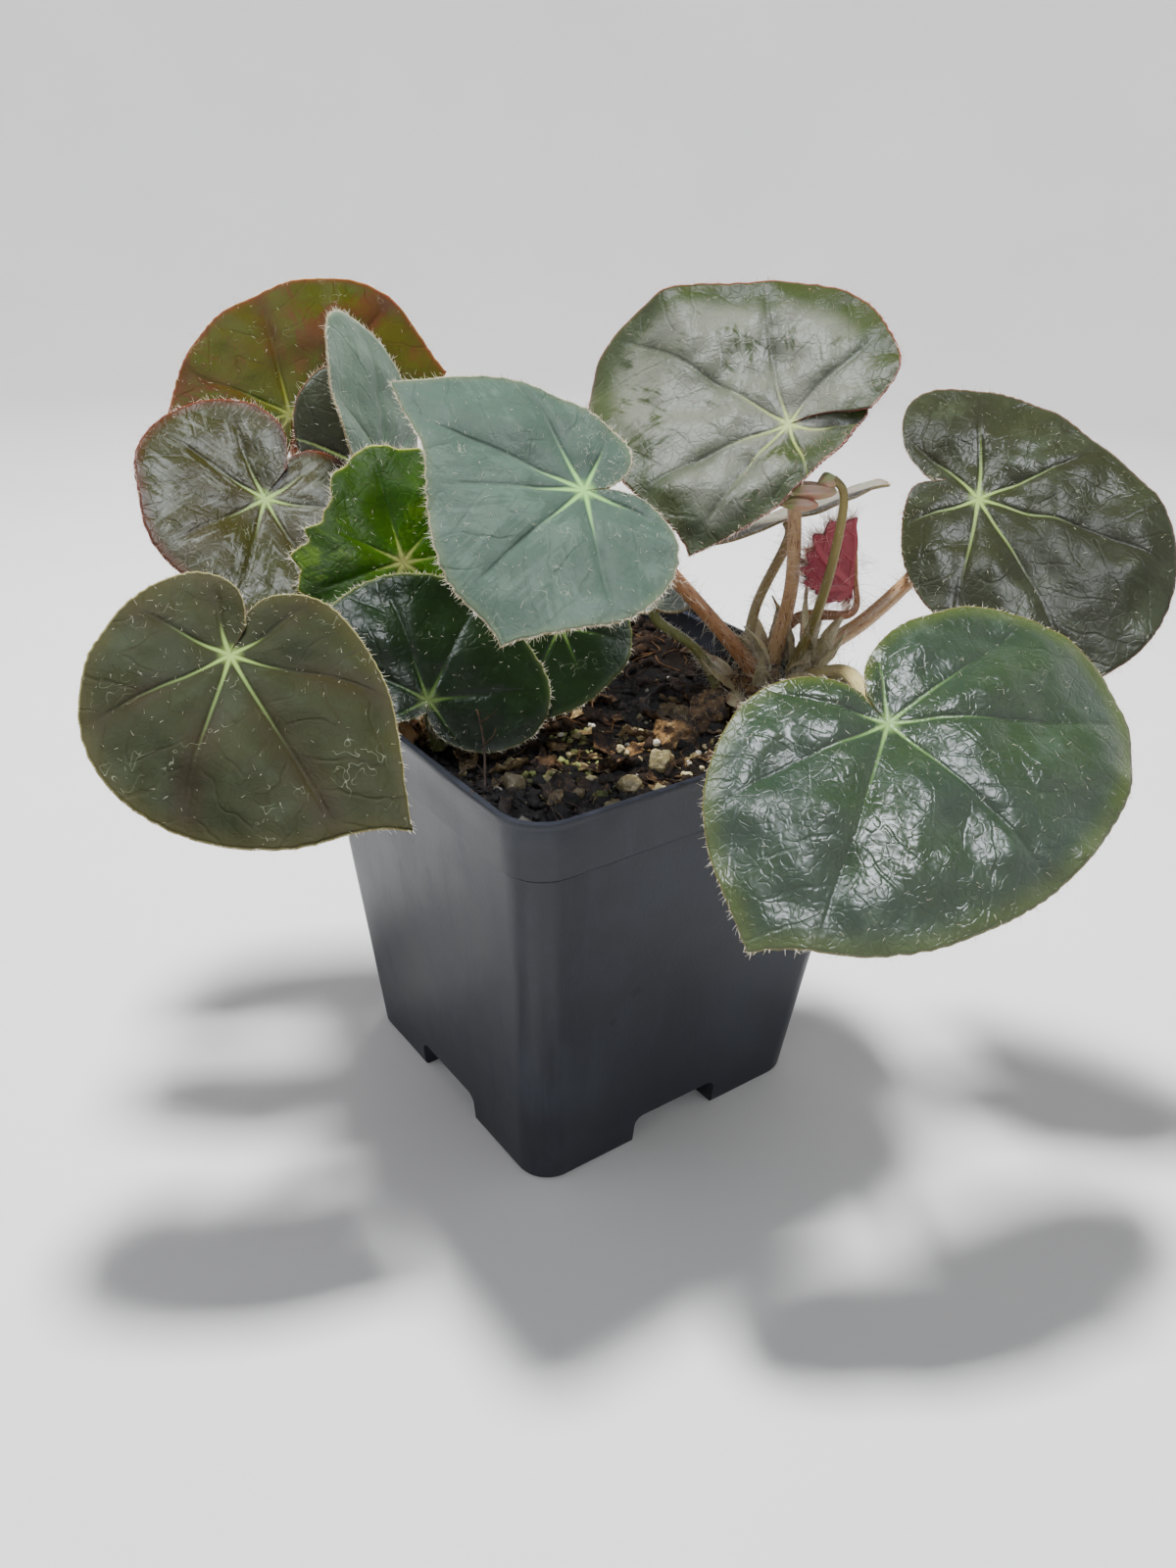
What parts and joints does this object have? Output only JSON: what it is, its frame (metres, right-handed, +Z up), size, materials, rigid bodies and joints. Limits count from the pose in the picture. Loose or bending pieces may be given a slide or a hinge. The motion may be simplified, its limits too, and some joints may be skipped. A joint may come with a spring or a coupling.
{
  "type": "potted begonia plant",
  "caption": "Rhizomatous begonia with lopsided heart-shaped leaves on hairy stalks, planted in a square black nursery pot with corner feet.",
  "frame": {"origin": "middle of the plant's bounding box in plan, on the surface the pot stands on", "axes": "+Z up; the sides of the square pot run along X and Y, and the corner towards -X and -Y is the one the picture shows in front"},
  "size_m": [0.229, 0.217, 0.1872],
  "materials": {
    "pot": "matte",
    "soil": "matte",
    "rhizome": "matte",
    "petiole": "satin",
    "green_stalk": "satin",
    "bud": "satin",
    "dark_leaf": "satin",
    "olive_leaf": "satin",
    "grey_leaf": "satin",
    "brown_leaf": "satin",
    "bright_leaf": "satin",
    "red_leaf": "satin"
  },
  "bodies": {
    "root": {"pot": "pot", "soil": "soil", "rhizome_right": "rhizome", "rhizome_left": "rhizome", "flower_stalk": "green_stalk", "flower_bud": "bud", "leaf_front_left": "olive_leaf", "leaf_front_right": "dark_leaf", "leaf_centre": "grey_leaf", "leaf_top": "grey_leaf", "leaf_right": "olive_leaf", "leaf_left": "brown_leaf", "leaf_back_left": "brown_leaf", "leaf_bright": "bright_leaf", "leaf_low_front": "dark_leaf", "leaf_edge_on": "grey_leaf", "leaf_shaded_back": "dark_leaf", "leaf_shaded_front": "dark_leaf", "leaf_behind": "grey_leaf", "leaf_small": "grey_leaf", "leaf_young_red": "red_leaf", "petiole_front_left": "petiole", "petiole_front_right": "petiole", "petiole_centre": "petiole", "petiole_top": "petiole", "petiole_right": "petiole", "petiole_left": "petiole", "petiole_back_left": "petiole", "petiole_bright": "petiole", "petiole_low_front": "green_stalk", "petiole_edge_on": "petiole", "petiole_shaded_back": "petiole", "petiole_shaded_front": "petiole", "petiole_behind": "petiole", "petiole_small": "green_stalk", "petiole_young_red": "petiole"}
  },
  "joints": []
}
